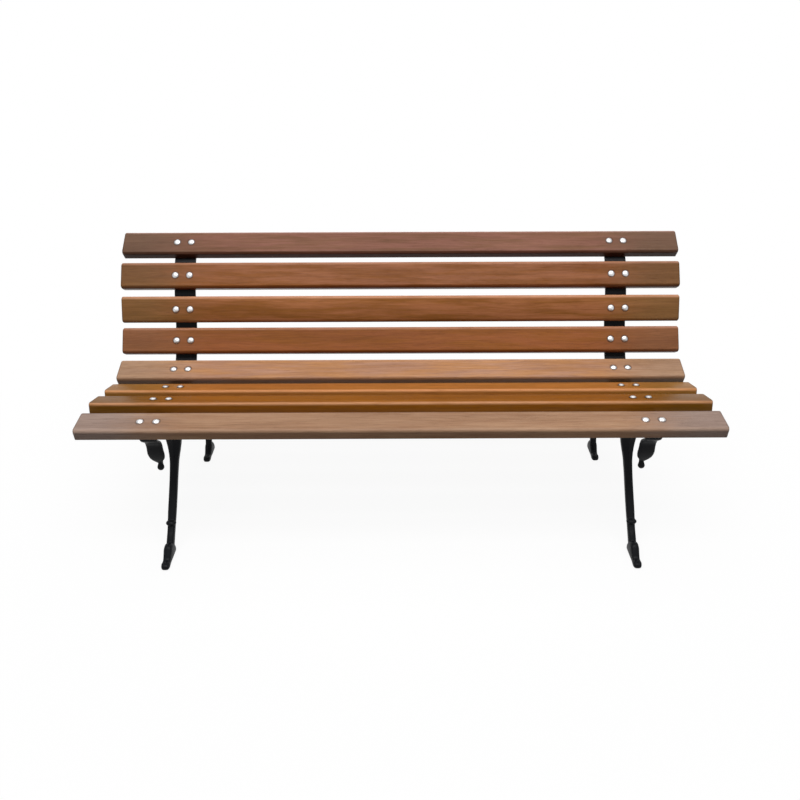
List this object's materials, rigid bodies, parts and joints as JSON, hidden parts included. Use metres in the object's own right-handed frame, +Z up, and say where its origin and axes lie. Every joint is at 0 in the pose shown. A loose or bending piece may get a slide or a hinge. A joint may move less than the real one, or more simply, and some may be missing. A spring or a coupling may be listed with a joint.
{
  "type": "garden bench",
  "caption": "Backed garden bench of rounded hardwood slats bolted to cast-iron side frames with curled fronts and cabriole legs.",
  "frame": {"origin": "on the ground under the middle of the bench", "axes": "+X along the slats to the sitter's left, +Y towards the back, +Z up"},
  "size_m": [1.5, 0.6228, 0.6688],
  "materials": {
    "wood_grey": "oiled hardwood, weathered to a greyer brown, satin",
    "wood_brown": "oiled hardwood, warm brown, satin",
    "wood_golden": "oiled hardwood, golden brown, satin",
    "wood_pale": "oiled hardwood, paler and pinkish, satin",
    "cast_iron_black": "black painted casting, satin",
    "zinc_steel": "bright zinc plate"
  },
  "bodies": {
    "root": {"seat_slat_4": "wood_pale", "seat_slat_3": "wood_golden", "seat_slat_2": "wood_golden", "seat_slat_1": "wood_pale", "back_slat_4": "wood_brown", "back_slat_3": "wood_brown", "back_slat_2": "wood_brown", "back_slat_1": "wood_grey", "left_leg_frame": "cast_iron_black", "right_leg_frame": "cast_iron_black", "seat_slat_4_bolts": "zinc_steel", "seat_slat_3_bolts": "zinc_steel", "seat_slat_2_bolts": "zinc_steel", "seat_slat_1_bolts": "zinc_steel", "back_slat_4_bolts": "zinc_steel", "back_slat_3_bolts": "zinc_steel", "back_slat_2_bolts": "zinc_steel", "back_slat_1_bolts": "zinc_steel", "seat_slat_4_washers": "zinc_steel", "seat_slat_3_washers": "zinc_steel", "seat_slat_2_washers": "zinc_steel", "seat_slat_1_washers": "zinc_steel", "back_slat_4_washers": "zinc_steel", "back_slat_3_washers": "zinc_steel", "back_slat_2_washers": "zinc_steel", "back_slat_1_washers": "zinc_steel", "seat_slat_4_nuts": "zinc_steel", "seat_slat_3_nuts": "zinc_steel", "seat_slat_2_nuts": "zinc_steel", "seat_slat_1_nuts": "zinc_steel", "back_slat_4_nuts": "zinc_steel", "back_slat_3_nuts": "zinc_steel", "back_slat_2_nuts": "zinc_steel", "back_slat_1_nuts": "zinc_steel"}
  },
  "joints": []
}
